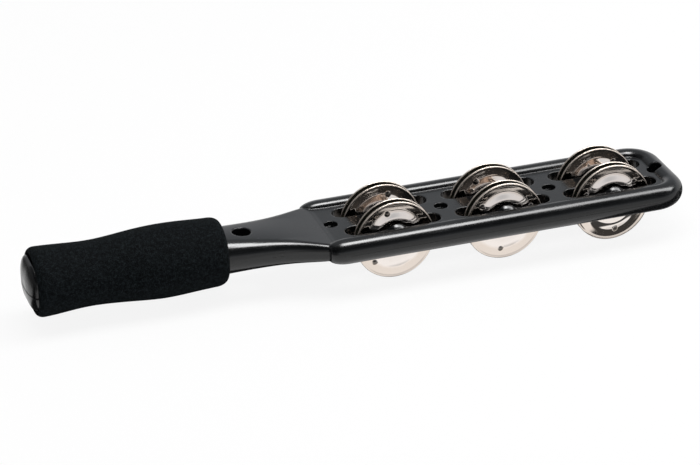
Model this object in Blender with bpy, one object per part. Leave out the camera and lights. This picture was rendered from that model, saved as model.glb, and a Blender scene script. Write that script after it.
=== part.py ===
"""Hand-held jingle stick.

A black moulded body in two half shells, split at the middle plane, holds six steel pins.
Each pin carries a pair of dished jingles in a slot of the head. A foam sleeve covers the
handle, and three screws from the underside hold the shells together along the spine.

X runs along the stick towards its tip, Y across the head, Z up. The stick rests on its
jingles at Z = 0, and its seam plane is parallel to the floor.
"""

import math

import bmesh
import bpy
from mathutils import Matrix, Vector

MM = 0.001

# Clearances between pieces that touch or run in each other
FIT_GAP = 0.3 * MM
SEAM_GAP = 0.3 * MM

# Handle core, its pommel and its neck
HANDLE_WIDTH = 31.0 * MM
HANDLE_HEIGHT = 22.0 * MM
HANDLE_CORNER = 8.0 * MM
POMMEL_SIDE_LIP = 2.0 * MM
POMMEL_TOP_LIP = 3.0 * MM
POMMEL_CORNER = 9.0 * MM
POMMEL_STAND = 6.0 * MM
POMMEL_FLANGE = 1.2 * MM
NECK_LENGTH = 62.5 * MM
NECK_INSET = 4.65 * MM
NECK_EDGE = 3.6 * MM

# Foam sleeve on the handle, by its wall over the sides of the core
GRIP_LENGTH = 111.5 * MM
GRIP_FLARE_WALL = 5.0 * MM
GRIP_WAIST_WALL = 3.4 * MM
GRIP_SWELL_WALL = 6.1 * MM
GRIP_COLLAR_WALL = 4.7 * MM
GRIP_END_WALL = 1.2 * MM
GRIP_WAIST_AT = 32.0 * MM
GRIP_SWELL_TO_END = 36.0 * MM
GRIP_FLARE_ROUND = 3.0 * MM
GRIP_COLLAR_ROUND = 6.0 * MM

# Pins and jingles
PIN_DIAMETER = 3.0 * MM
PIN_SEAT = 4.0 * MM
JINGLE_DIAMETER = 48.2 * MM
JINGLE_SHEET = 0.8 * MM
JINGLE_HOLE_DIAMETER = 11.6 * MM
DOME_DIAMETER = 37.0 * MM
DOME_HEIGHT = 2.6 * MM
DOME_SHOULDER_DIAMETER = 30.2 * MM
DOME_SHOULDER_HEIGHT = 1.5 * MM
JINGLE_SIDE_PLAY = 1.2 * MM
JINGLE_REST_SHIFT = 0.6 * MM

# Head: a flat web with slots for the jingles, and a round rim along its sides and its tip
STATIONS = 3
SLOT_END_ROOM = 5.2 * MM
SLOT_WIDTH = 11.9 * MM
SLOT_BRIDGE = 9.9 * MM
SPINE_WIDTH = 13.3 * MM
BOSS_DIAMETER = 13.2 * MM
HEAD_WIDTH = 69.3 * MM
WEB_THICKNESS = 9.6 * MM
WEB_LEAD = 9.1 * MM
TIP_LAND = 15.3 * MM
RIM_DIAMETER = 15.5 * MM
RIM_LEAD = 7.0 * MM
RIM_CAP = 13.0 * MM
RIM_INNER_CORNER = 5.0 * MM

# Round recesses on the spine, and the two holes through the stick
RECESS_DIAMETER = 8.1 * MM
RECESS_DEPTH = 2.2 * MM
TIP_HOLE_DIAMETER = 8.6 * MM
TIP_TO_HOLE = 10.4 * MM
NECK_HOLE_DIAMETER = 10.9 * MM
GRIP_TO_NECK_HOLE = 12.2 * MM

# Screws
SCREW_DIAMETER = 3.0 * MM
SCREW_COVER = 0.8 * MM
SCREW_HEAD_DIAMETER = 6.4 * MM
SCREW_HEAD_HEIGHT = 1.7 * MM

# Shares that shape the rounded ends and the flare of the neck
POMMEL_FACE_SHARE = 0.32
RIM_START_SHARE = 0.42
NECK_FLARE_DELAY = 1.5
SCREW_FACE_SHARE = 0.8

# Facets
CORNER_STEPS = 6
RIM_SIDES = 16
ARC_STEPS = 6
CAP_STEPS = 4
DOME_STEPS = 5
NECK_STEPS = 12
GRIP_STEPS = 13
GRIP_ROUND_STEPS = 3
ROUND_SIDES = 24
PIN_SIDES = 12
JINGLE_SIDES = 32

# Lengths along the stick, from the pommel to the tip
SLOT_LENGTH = JINGLE_DIAMETER + 2 * SLOT_END_ROOM
STATION_PITCH = SLOT_LENGTH + SLOT_BRIDGE
SLOTTED_LENGTH = STATIONS * STATION_PITCH - SLOT_BRIDGE
HANDLE_END = POMMEL_STAND + GRIP_LENGTH
STICK_LENGTH = HANDLE_END + NECK_LENGTH + WEB_LEAD + SLOTTED_LENGTH + TIP_LAND

# Places along the stick
POMMEL_X = -STICK_LENGTH / 2
TIP_X = STICK_LENGTH / 2
GRIP_START = POMMEL_X + POMMEL_STAND
GRIP_END = GRIP_START + GRIP_LENGTH
NECK_HOLE_X = GRIP_END + GRIP_TO_NECK_HOLE
WEB_START = GRIP_END + NECK_LENGTH
RIM_START = WEB_START - RIM_LEAD
FIRST_PIN_X = WEB_START + WEB_LEAD + SLOT_LENGTH / 2
PIN_X = [FIRST_PIN_X + STATION_PITCH * i for i in range(STATIONS)]
SCREW_X = [x - STATION_PITCH / 2 for x in PIN_X]

# Heights and offsets that follow from the fits
WEB_TOP = WEB_THICKNESS / 2
SEAM_FACE = SEAM_GAP / 2
RECESS_FLOOR = WEB_TOP - RECESS_DEPTH
SCREW_REACH = RECESS_FLOOR - SCREW_COVER - FIT_GAP
RIM_RADIUS = RIM_DIAMETER / 2
RIM_Y = HEAD_WIDTH / 2 - RIM_RADIUS
ROW_Y = (SPINE_WIDTH + SLOT_WIDTH) / 2
ROWS = {"front": -ROW_Y, "back": ROW_Y}
JINGLE_HANG = (JINGLE_HOLE_DIAMETER - PIN_DIAMETER) / 2 - FIT_GAP
SEAM_HEIGHT = JINGLE_DIAMETER / 2 + JINGLE_HANG
RIM_PLANE = SLOT_WIDTH / 2 - JINGLE_SIDE_PLAY - DOME_HEIGHT - JINGLE_SHEET / 2

BLACK_PLASTIC = ("black_plastic", (0.022, 0.023, 0.026), 0.28, 0.0)
BLACK_FOAM = ("black_foam", (0.008, 0.009, 0.010), 0.95, 0.0)
NICKEL_PLATE = ("nickel_plate", (0.72, 0.68, 0.62), 0.14, 1.0)
PIN_STEEL = ("pin_steel", (0.55, 0.55, 0.54), 0.30, 1.0)
SCREW_STEEL = ("screw_steel", (0.05, 0.05, 0.055), 0.40, 1.0)


def clear_scene():
    for obj in list(bpy.data.objects):
        bpy.data.objects.remove(obj, do_unlink=True)


def finish_of(spec):
    """The material of a (name, colour, roughness, metallic) finish, made once."""
    name, colour, roughness, metallic = spec
    material = bpy.data.materials.get(name)
    if material is None:
        material = bpy.data.materials.new(name)
        material.use_nodes = True
        shader = material.node_tree.nodes["Principled BSDF"]
        shader.inputs["Base Color"].default_value = (*colour, 1.0)
        shader.inputs["Roughness"].default_value = roughness
        shader.inputs["Metallic"].default_value = metallic
    return material


def object_from(name, bm):
    """An object from a bmesh, with its faces pointing out."""
    bmesh.ops.recalc_face_normals(bm, faces=bm.faces)
    mesh = bpy.data.meshes.new(name)
    bm.to_mesh(mesh)
    bm.free()
    obj = bpy.data.objects.new(name, mesh)
    bpy.context.scene.collection.objects.link(obj)
    return obj


def dress(obj, spec, parent, smooth_angle=35.0):
    """Gives a finished piece its material, its shading and its parent."""
    obj.data.materials.clear()
    obj.data.materials.append(finish_of(spec))
    obj.data.shade_smooth()
    obj.data.set_sharp_from_angle(angle=math.radians(smooth_angle))
    obj.parent = parent
    return obj


def smoothstep(t):
    return t * t * (3 - 2 * t)


def rounded_ring(x, half_width, half_height, corner):
    """A rounded rectangle across the stick at x, as points round the X axis."""
    corner = min(corner, half_width, half_height)
    ring = []
    for quadrant, (side_y, side_z) in enumerate([(1, 1), (-1, 1), (-1, -1), (1, -1)]):
        centre_y = side_y * (half_width - corner)
        centre_z = side_z * (half_height - corner)
        for step in range(CORNER_STEPS + 1):
            angle = math.pi / 2 * (quadrant + step / CORNER_STEPS)
            y = centre_y + corner * math.cos(angle)
            z = centre_z + corner * math.sin(angle)
            ring.append(Vector((x, y, z)))
    return ring


def round_ring(x, radius):
    """A circle across the stick at x, with as many points as a rounded ring."""
    count = 4 * (CORNER_STEPS + 1)
    angles = [2 * math.pi * (i + 0.5) / count for i in range(count)]
    return [Vector((x, radius * math.cos(a), radius * math.sin(a))) for a in angles]


def loft(name, rings, endless=False):
    """A skin through rings of points, capped at both ends or, if endless, closed on itself."""
    bm = bmesh.new()
    loops = [[bm.verts.new(point) for point in ring] for ring in rings]
    pairs = list(zip(loops, loops[1:]))
    if endless:
        pairs.append((loops[-1], loops[0]))
    count = len(loops[0])
    for near, far in pairs:
        for i in range(count):
            j = (i + 1) % count
            bm.faces.new((near[i], near[j], far[j], far[i]))
    if not endless:
        bm.faces.new(loops[0])
        bm.faces.new(loops[-1])
    bmesh.ops.remove_doubles(bm, verts=bm.verts, dist=1e-6)
    return object_from(name, bm)


def turned(name, profile, sides):
    """A closed (radius, height) profile turned about the Z axis."""
    bm = bmesh.new()
    verts = [bm.verts.new((radius, 0, height)) for radius, height in profile]
    edges = [bm.edges.new((a, b)) for a, b in zip(verts, verts[1:] + verts[:1])]
    bmesh.ops.spin(
        bm, geom=verts + edges, cent=(0, 0, 0), axis=(0, 0, 1),
        angle=2 * math.pi, steps=sides, use_merge=True,
    )
    bmesh.ops.remove_doubles(bm, verts=bm.verts, dist=1e-6)
    return object_from(name, bm)


def add_cylinder(bm, radius, length, centre, turn=None, sides=ROUND_SIDES):
    """Adds a capped cylinder to a bmesh, along Z or turned by a matrix."""
    matrix = Matrix.Translation(centre) @ (turn or Matrix.Identity(4))
    bmesh.ops.create_cone(
        bm, cap_ends=True, segments=sides, radius1=radius, radius2=radius,
        depth=length, matrix=matrix,
    )


def add_stadium(bm, centre, length, width, height):
    """Adds an upright prism with round ends, its length along X."""
    radius = width / 2
    half_straight = length / 2 - radius
    outline = []
    for end in (1, -1):
        for step in range(2 * ARC_STEPS + 1):
            angle = -math.pi / 2 + math.pi * step / (2 * ARC_STEPS)
            x = end * (half_straight + radius * math.cos(angle))
            outline.append((x, end * radius * math.sin(angle)))
    loops = []
    for z in (-height / 2, height / 2):
        loops.append([bm.verts.new(centre + Vector((x, y, z))) for x, y in outline])
    bm.faces.new(loops[0])
    bm.faces.new(loops[1])
    for i in range(len(outline)):
        j = (i + 1) % len(outline)
        bm.faces.new((loops[0][i], loops[0][j], loops[1][j], loops[1][i]))


def combine(target, tool, operation):
    """Applies a Boolean of a tool object to a target and removes the tool."""
    modifier = target.modifiers.new("combine", "BOOLEAN")
    modifier.operation = operation
    modifier.solver = "EXACT"
    modifier.object = tool
    graph = bpy.context.evaluated_depsgraph_get()
    mesh = bpy.data.meshes.new_from_object(target.evaluated_get(graph))
    target.modifiers.clear()
    target.data = mesh
    bpy.data.objects.remove(tool, do_unlink=True)


ALONG_Y = Matrix.Rotation(math.pi / 2, 4, "X")


def handle_and_web():
    """The core of the body: domed pommel, handle, neck that flares and thins, and flat web."""
    handle = (HANDLE_WIDTH / 2, HANDLE_HEIGHT / 2, HANDLE_CORNER)
    pommel = (HANDLE_WIDTH / 2 + POMMEL_SIDE_LIP, HANDLE_HEIGHT / 2 + POMMEL_TOP_LIP, POMMEL_CORNER)
    shoulder = GRIP_START - FIT_GAP
    rings = []
    for step in range(DOME_STEPS + 1):
        share = step / DOME_STEPS
        scale = math.sqrt(1 - (1 - POMMEL_FACE_SHARE ** 2) * (1 - share) ** 2)
        x = POMMEL_X + share * (shoulder - POMMEL_X - POMMEL_FLANGE)
        rings.append(rounded_ring(x, *(scale * size for size in pommel)))
    rings.append(rounded_ring(shoulder, *pommel))
    rings.append(rounded_ring(shoulder, *handle))
    flare = (HEAD_WIDTH / 2 - NECK_INSET, WEB_TOP, NECK_EDGE)
    for step in range(NECK_STEPS + 1):
        t = step / NECK_STEPS
        blend = (smoothstep(t ** NECK_FLARE_DELAY), smoothstep(t), t)
        sizes = [start + (end - start) * b for start, end, b in zip(handle, flare, blend)]
        rings.append(rounded_ring(GRIP_END + t * NECK_LENGTH, *sizes))
    for x in (WEB_START + RIM_CAP, TIP_X - RIM_RADIUS):
        rings.append(rounded_ring(x, RIM_Y, WEB_TOP, NECK_EDGE))
    return loft("body", rings)


def rim():
    """The round rim: near side, round the tip, far side, with rounded starts."""
    turn_radius = RIM_INNER_CORNER + RIM_RADIUS
    corner_x = TIP_X - RIM_RADIUS - turn_radius
    path = []
    for step in range(CAP_STEPS + 1):
        angle = math.pi / 2 * step / CAP_STEPS
        x = RIM_START + RIM_CAP * (1 - math.cos(angle))
        path.append((x, -RIM_Y, 0.0, RIM_START_SHARE + (1 - RIM_START_SHARE) * math.sin(angle)))
    for step in range(ARC_STEPS + 1):
        angle = math.pi / 2 * step / ARC_STEPS
        x = corner_x + turn_radius * math.sin(angle)
        y = -RIM_Y + turn_radius - turn_radius * math.cos(angle)
        path.append((x, y, angle, 1.0))
    path += [(x, -y, math.pi - angle, scale) for x, y, angle, scale in reversed(path)]
    rings = []
    for x, y, heading, scale in path:
        across = Vector((-math.sin(heading), math.cos(heading), 0))
        ring = []
        for side in range(RIM_SIDES):
            angle = 2 * math.pi * side / RIM_SIDES
            offset = across * math.cos(angle) + Vector((0, 0, math.sin(angle)))
            ring.append(Vector((x, y, 0)) + scale * RIM_RADIUS * offset)
        rings.append(ring)
    return loft("rim", rings)


def pin_bosses():
    """Round bars across the head at each station. The slots cut them into bosses."""
    bm = bmesh.new()
    for x in PIN_X:
        add_cylinder(bm, BOSS_DIAMETER / 2, 2 * RIM_Y, Vector((x, 0, 0)), ALONG_Y)
    return object_from("bosses", bm)


def head_cuts():
    """The slots, the two holes through the stick and the recesses in both faces."""
    through = 2 * max(RIM_DIAMETER, HANDLE_HEIGHT, BOSS_DIAMETER)
    bm = bmesh.new()
    for x in PIN_X:
        for y in ROWS.values():
            add_stadium(bm, Vector((x, y, 0)), SLOT_LENGTH, SLOT_WIDTH, through)
    add_cylinder(bm, NECK_HOLE_DIAMETER / 2, through, Vector((NECK_HOLE_X, 0, 0)))
    add_cylinder(bm, TIP_HOLE_DIAMETER / 2, through, Vector((TIP_X - TIP_TO_HOLE, 0, 0)))
    for x in SCREW_X:
        for side in (1, -1):
            middle = side * (RECESS_FLOOR + through / 2)
            add_cylinder(bm, RECESS_DIAMETER / 2, through, Vector((x, 0, middle)))
    return object_from("head_cuts", bm)


def pin_seats():
    """Round grooves in which the pins lie, on the seam plane."""
    bm = bmesh.new()
    length = SLOT_WIDTH + 2 * (PIN_SEAT + FIT_GAP)
    for x in PIN_X:
        for y in ROWS.values():
            add_cylinder(bm, PIN_DIAMETER / 2 + FIT_GAP, length, Vector((x, y, 0)), ALONG_Y, PIN_SIDES)
    return object_from("pin_seats", bm)


def half_space(side):
    """A block that holds everything on one side of the seam."""
    bm = bmesh.new()
    height = 2 * max(RIM_DIAMETER, HANDLE_HEIGHT + 2 * POMMEL_TOP_LIP)
    size = Matrix.Diagonal((2 * STICK_LENGTH, 2 * HEAD_WIDTH, height, 1))
    place = Matrix.Translation((0, 0, side * (SEAM_FACE + height / 2)))
    bmesh.ops.create_cube(bm, size=1, matrix=place @ size)
    return object_from("half_space", bm)


def screw_holes(bottom, top):
    """Clearance holes round the screws, between two heights."""
    bm = bmesh.new()
    for x in SCREW_X:
        centre = Vector((x, 0, (bottom + top) / 2))
        add_cylinder(bm, SCREW_DIAMETER / 2 + FIT_GAP, top - bottom, centre, sides=PIN_SIDES)
    return object_from("screw_holes", bm)


def frame_halves(stick):
    """The moulded body, split at the seam into its upper and lower shells."""
    body = handle_and_web()
    combine(body, rim(), "UNION")
    combine(body, pin_bosses(), "UNION")
    combine(body, head_cuts(), "DIFFERENCE")
    combine(body, pin_seats(), "DIFFERENCE")
    upper = body
    lower = bpy.data.objects.new("lower_frame", body.data.copy())
    bpy.context.scene.collection.objects.link(lower)
    upper.name = "upper_frame"
    combine(upper, half_space(1), "INTERSECT")
    combine(lower, half_space(-1), "INTERSECT")
    combine(upper, screw_holes(-SEAM_GAP, SCREW_REACH + FIT_GAP), "DIFFERENCE")
    combine(lower, screw_holes(-WEB_THICKNESS, SEAM_GAP), "DIFFERENCE")
    for shell in (upper, lower):
        dress(shell, BLACK_PLASTIC, stick)


def foam_grip(stick):
    """The foam sleeve: flared at the pommel, drawn in at a waist, swelling towards the neck."""
    core = HANDLE_WIDTH / 2
    knots = [
        (0.0, core + GRIP_FLARE_WALL),
        (GRIP_WAIST_AT, core + GRIP_WAIST_WALL),
        (GRIP_LENGTH - GRIP_SWELL_TO_END, core + GRIP_SWELL_WALL),
        (GRIP_LENGTH, core + GRIP_COLLAR_WALL),
    ]

    def radius_at(along):
        for (start, first), (end, second) in zip(knots, knots[1:]):
            if along <= end:
                return first + (second - first) * smoothstep((along - start) / (end - start))
        return knots[-1][1]

    rings = []
    for step in reversed(range(GRIP_ROUND_STEPS + 1)):
        angle = math.pi / 2 * step / GRIP_ROUND_STEPS
        along = GRIP_FLARE_ROUND * (1 - math.sin(angle))
        rings.append((along, radius_at(along) - (GRIP_FLARE_WALL - GRIP_END_WALL) * (1 - math.cos(angle))))
    collar_start = GRIP_LENGTH - GRIP_COLLAR_ROUND
    for step in range(1, GRIP_STEPS):
        along = GRIP_FLARE_ROUND + (collar_start - GRIP_FLARE_ROUND) * step / GRIP_STEPS
        rings.append((along, radius_at(along)))
    for step in range(GRIP_ROUND_STEPS + 1):
        angle = math.pi / 2 * step / GRIP_ROUND_STEPS
        along = collar_start + GRIP_COLLAR_ROUND * math.sin(angle)
        rings.append((along, radius_at(along) - (GRIP_COLLAR_WALL - GRIP_END_WALL) * (1 - math.cos(angle))))
    outer = [round_ring(GRIP_START + along, radius) for along, radius in rings]
    bore = (core + FIT_GAP, HANDLE_HEIGHT / 2 + FIT_GAP, HANDLE_CORNER + FIT_GAP)
    inner = [rounded_ring(GRIP_START + rings[end][0], *bore) for end in (-1, 0)]
    dress(loft("foam_grip", outer + inner, endless=True), BLACK_FOAM, stick, 60.0)


def frame_screws(stick):
    """Pan-head screws from the underside, one in each spine recess."""
    head_top = -RECESS_FLOOR - FIT_GAP
    head_bottom = head_top - SCREW_HEAD_HEIGHT
    head = SCREW_HEAD_DIAMETER / 2
    shank = SCREW_DIAMETER / 2
    profile = [
        (0, SCREW_REACH),
        (shank, SCREW_REACH),
        (shank, head_top),
        (head, head_top),
        (head, head_bottom + SCREW_HEAD_HEIGHT / 2),
        (SCREW_FACE_SHARE * head, head_bottom),
        (0, head_bottom),
    ]
    pattern = turned("frame_screw", profile, PIN_SIDES)
    for number, x in enumerate(SCREW_X, start=1):
        screw = bpy.data.objects.new(f"frame_screw_{number}", pattern.data)
        screw.location = (x, 0, 0)
        bpy.context.scene.collection.objects.link(screw)
        dress(screw, SCREW_STEEL, stick)
    bpy.data.objects.remove(pattern, do_unlink=True)


def pin_mesh():
    """One straight pin along Y, its ends slightly chamfered."""
    half = SLOT_WIDTH / 2 + PIN_SEAT
    radius = PIN_DIAMETER / 2
    chamfer = radius / 4
    profile = [
        (0, half),
        (radius - chamfer, half),
        (radius, half - chamfer),
        (radius, chamfer - half),
        (radius - chamfer, -half),
        (0, -half),
    ]
    obj = turned("pin", profile, PIN_SIDES)
    obj.data.transform(ALONG_Y)
    mesh = obj.data
    bpy.data.objects.remove(obj, do_unlink=True)
    return mesh


def jingle_mesh(outward):
    """A dished jingle: flat annulus and raised dome with a centre hole, its dome towards outward Y."""
    half_sheet = JINGLE_SHEET / 2
    middle = [
        (JINGLE_DIAMETER / 2, 0.0),
        (DOME_DIAMETER / 2, 0.0),
        (DOME_SHOULDER_DIAMETER / 2, DOME_SHOULDER_HEIGHT),
        (JINGLE_HOLE_DIAMETER / 2, DOME_HEIGHT),
    ]
    outer = [(radius, height + half_sheet) for radius, height in middle]
    inner = [(radius, height - half_sheet) for radius, height in reversed(middle)]
    obj = turned("jingle", outer + inner, JINGLE_SIDES)
    obj.data.transform(Matrix.Rotation(-outward * math.pi / 2, 4, "X"))
    obj.data.transform(Matrix.Translation((0, 0, -JINGLE_HANG)))
    mesh = obj.data
    bpy.data.objects.remove(obj, do_unlink=True)
    return mesh


def jingle_pairs(stick):
    """The pins in their seats, each with its pair of jingles, domes outward, slid to the front."""
    pin = pin_mesh()
    jingles = {side: jingle_mesh(side) for side in (1, -1)}
    scene = bpy.context.scene.collection.objects
    for row, y in ROWS.items():
        outer_side = 1 if y > 0 else -1
        for station, x in enumerate(PIN_X, start=1):
            holder = bpy.data.objects.new(f"jingle_pin_{row}_{station}", pin)
            holder.location = (x, y, 0)
            scene.link(holder)
            dress(holder, PIN_STEEL, stick)
            for place, side in (("outer", outer_side), ("inner", -outer_side)):
                jingle = bpy.data.objects.new(f"jingle_{row}_{station}_{place}", jingles[side])
                jingle.location = (0, side * RIM_PLANE - JINGLE_REST_SHIFT, 0)
                scene.link(jingle)
                dress(jingle, NICKEL_PLATE, holder)


def jingle_stick():
    clear_scene()
    stick = bpy.data.objects.new("jingle_stick", None)
    stick.location = (0, 0, SEAM_HEIGHT)
    bpy.context.scene.collection.objects.link(stick)
    frame_halves(stick)
    foam_grip(stick)
    frame_screws(stick)
    jingle_pairs(stick)


jingle_stick()
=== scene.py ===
"""Looks of the hand-held jingle stick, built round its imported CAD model."""

import math
from functools import partial

import bmesh
import bpy
import numpy as np
from mathutils import Matrix, Vector


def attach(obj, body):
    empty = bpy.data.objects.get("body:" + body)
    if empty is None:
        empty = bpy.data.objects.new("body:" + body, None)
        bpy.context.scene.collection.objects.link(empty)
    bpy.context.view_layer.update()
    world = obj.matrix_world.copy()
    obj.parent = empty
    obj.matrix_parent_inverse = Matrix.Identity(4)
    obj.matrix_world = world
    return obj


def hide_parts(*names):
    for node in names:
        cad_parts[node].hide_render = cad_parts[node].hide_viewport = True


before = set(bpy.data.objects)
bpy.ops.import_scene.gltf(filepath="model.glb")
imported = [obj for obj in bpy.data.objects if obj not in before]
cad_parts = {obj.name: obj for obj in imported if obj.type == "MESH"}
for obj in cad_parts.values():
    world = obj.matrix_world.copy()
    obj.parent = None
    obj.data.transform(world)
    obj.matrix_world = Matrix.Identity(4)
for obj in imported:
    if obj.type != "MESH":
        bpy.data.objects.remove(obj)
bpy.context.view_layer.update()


# Moulded shells. The body is injection moulded in glossy black ABS as an upper and a lower half, which
# close on each other along a fine seam. Handle core, flared neck, flat web, round rim and pin bosses
# are one moulding with small fillets, so its surface is where a sum of distances comes to nought.

MM = 0.001
SEAM_HEIGHT = 28.1
HANDLE_SIZES = (15.5, 11.0, 10.2)
POMMEL_SIZES = (17.5, 14.2, 12.0)
POMMEL_SEAM = -2.0
POMMEL_END = -200.0
POMMEL_SHOULDER = -194.3
POMMEL_DOME = 4.5
POMMEL_FACE_SHARE = 0.32
POMMEL_EDGE = 0.8
NECK_START = -82.5
NECK_STEP = 6.0
WEB_START = -20.0
NECK_LENGTH = WEB_START - NECK_START
NECK_END = WEB_START + 6.0
NECK_WIDTHS = (18.0, 30.0)
NECK_EVEN_FLARE = 0.3
NECK_FLARE_POWER = 2.3
NECK_EVEN_DROP = 0.88
CROWN_START = NECK_START - 20.0
CROWN_BEND = 0.003
CROWN_HALF = 14.0
CROWN_FADE = 1.1
WEB_OVERLAP = 2.0
WEB_TOP = 4.8
WEB_EDGE = 3.6
RIM_Y = 26.9
RIM_RADIUS = 7.75
RIM_INSIDE = 5.3
RIM_START = -26.2
RIM_CAP = 12.0
RIM_NOSE_SHARE = 0.42
RIM_NOSE_EDGE = 1.2
RIM_END = 192.25
RIM_CORNER = 12.75
HEAD_HALF = 150.0
ROOT_FILLET = 0.4
PIN_X = (18.4, 86.9, 155.4)
ROW_Y = 12.6
SLOT_RADIUS = 5.95
SLOT_STRAIGHT = 23.35
SLOT_EDGE = 0.8
BOSS_RADIUS = 8.3
BOSS_OFFSET = 3.1
BOSS_FILLET = 0.9
SCREW_X = (-15.85, 52.65, 121.15)
RECESS_RADIUS = 4.05
RECESS_FLOORS = {1: 1.7, -1: 2.6}
RECESS_EDGE = 0.5
HOLES = ((-70.3, 5.45), (189.6, 4.3))
HOLE_EDGE = 0.9
PIN_SEAT_RADIUS = 1.8
PIN_SEAT_HALF = 10.25
PIN_SEAT_EDGE = 0.2
SEAM_OPEN_END = -194.0
SEAM_FADE = 3.0
SEAM_GAPS = (0.01, 0.14)
SEAM_EDGES = (0.02, 0.5)
ABS_BLACKS = ((0.0022, 0.0025, 0.0028), (0.0040, 0.0045, 0.0050))
ABS_IOR = 1.54


def ease(t):
    """Smooth step: 3 t squared less 2 t cubed, with t held between 0 and 1."""
    t = np.clip(t, 0.0, 1.0)
    return t * t * (3 - 2 * t)


def filleted(a, b, fillet):
    """Union of two distances: the smaller, less a quarter of the squared overlap over the fillet."""
    near = np.maximum(fillet - np.abs(a - b), 0)
    return np.minimum(a, b) - near ** 2 / (4 * fillet)


def cut_out(a, b, edge):
    """Distance a without what lies inside b, its new edge eased over a small width."""
    near = np.maximum(edge - np.abs(a + b), 0)
    return np.maximum(a, -b) + near ** 2 / (4 * edge)


def rounded_box(u, v, half_u, half_v, corner):
    """Distance to a round-cornered rectangle: how far u and v pass a corner's centre, less its radius."""
    past_u = np.abs(u) - half_u + corner
    past_v = np.abs(v) - half_v + corner
    outside = np.hypot(np.maximum(past_u, 0), np.maximum(past_v, 0))
    return outside + np.minimum(np.maximum(past_u, past_v), 0) - corner


def shell_distance(x, y, z, side, closed=False):
    """Distance to one shell, in mm from the seam: neck, web, rim and bosses joined, then the holes cut.

    The seam is open at the pommel alone. With closed, the shells count as one where they meet.
    """
    h = z * side
    t = (x - NECK_START) / NECK_LENGTH
    held = np.clip(t, 0, 1)
    flare = NECK_EVEN_FLARE * held + (1 - NECK_EVEN_FLARE) * ease(held ** NECK_FLARE_POWER)
    width = NECK_WIDTHS[0] + (NECK_WIDTHS[1] - NECK_WIDTHS[0]) * flare
    width = width - (NECK_WIDTHS[0] - HANDLE_SIZES[0]) * ease((NECK_START - x) / NECK_STEP)
    drop = NECK_EVEN_DROP * held + (1 - NECK_EVEN_DROP) * held ** 3
    crown = CROWN_BEND * (1 - ease(t * CROWN_FADE)) * np.minimum(np.abs(y), CROWN_HALF) ** 2
    height = HANDLE_SIZES[1] + (WEB_TOP - HANDLE_SIZES[1]) * drop - crown * (x > CROWN_START)
    corner = HANDLE_SIZES[2] + (WEB_EDGE - HANDLE_SIZES[2]) * held
    neck = rounded_box(y, h, width, height, corner)
    neck = np.maximum(neck, np.maximum(x - NECK_END, POMMEL_SHOULDER - x))

    share = np.clip((x - POMMEL_END) / POMMEL_DOME, 0, 1)
    dome = np.sqrt(1 - (1 - POMMEL_FACE_SHARE ** 2) * (1 - share) ** 2)
    pommel = rounded_box(y, h, *(dome * size for size in POMMEL_SIZES))
    pommel = cut_out(pommel, POMMEL_SHOULDER - x, POMMEL_EDGE)
    pommel = cut_out(pommel, x - POMMEL_END, POMMEL_EDGE)

    plan = rounded_box(x - (RIM_END - HEAD_HALF), y, HEAD_HALF, RIM_Y, RIM_CORNER)
    web = np.maximum(np.maximum(plan, WEB_START - WEB_OVERLAP - x), np.abs(h) - WEB_TOP)
    rise = np.clip((x - RIM_START) / RIM_CAP, 0, 1)
    bead = RIM_NOSE_SHARE + (1 - RIM_NOSE_SHARE) * np.sqrt(1 - (1 - rise) ** 2)
    steep = np.maximum(np.abs(h) - (RIM_RADIUS - RIM_INSIDE) * bead, 0)
    inner = np.hypot(plan, steep) - RIM_INSIDE * bead
    rim = np.where(plan > 0, np.hypot(plan, h) - RIM_RADIUS * bead, inner)
    rim = cut_out(rim, x - RIM_START, RIM_NOSE_EDGE)
    body = filleted(web, rim, ROOT_FILLET)
    for pin in PIN_X:
        beside = np.abs(np.abs(y) - ROW_Y) - BOSS_OFFSET
        boss = np.sqrt((x - pin) ** 2 + np.maximum(beside, 0) ** 2 + h ** 2) - BOSS_RADIUS
        body = filleted(body, boss, BOSS_FILLET)
    body = filleted(body, neck, ROOT_FILLET)
    body = np.minimum(body, pommel)

    for pin in PIN_X:
        along = np.maximum(np.abs(x - pin) - SLOT_STRAIGHT, 0)
        body = cut_out(body, np.hypot(along, np.abs(y) - ROW_Y) - SLOT_RADIUS, SLOT_EDGE)
    for place, radius in HOLES:
        body = cut_out(body, np.hypot(x - place, y) - radius, HOLE_EDGE)
    for screw in SCREW_X:
        recess = np.maximum(np.hypot(x - screw, y) - RECESS_RADIUS, RECESS_FLOORS[side] - h)
        body = cut_out(body, recess, RECESS_EDGE)
    for pin in PIN_X:
        seat = np.maximum(np.hypot(x - pin, h) - PIN_SEAT_RADIUS, np.abs(np.abs(y) - ROW_Y) - PIN_SEAT_HALF)
        body = cut_out(body, seat, PIN_SEAT_EDGE)

    open_seam = 1 - ease((x - SEAM_OPEN_END) / SEAM_FADE)
    above = side * (z - POMMEL_SEAM * open_seam)
    gap = SEAM_GAPS[0] + SEAM_GAPS[1] * open_seam
    split = cut_out(body, above - gap, SEAM_EDGES[0] + SEAM_EDGES[1] * open_seam)
    return np.where(closed & (open_seam == 0), body, split)


def stops(*runs):
    """Grid lines: each run's start, end and step as even spaces, joined end to end."""
    lines = [np.linspace(a, b, max(2, int(round((b - a) / step)) + 1)) for a, b, step in runs]
    return np.unique(np.round(np.concatenate(lines), 4))


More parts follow.
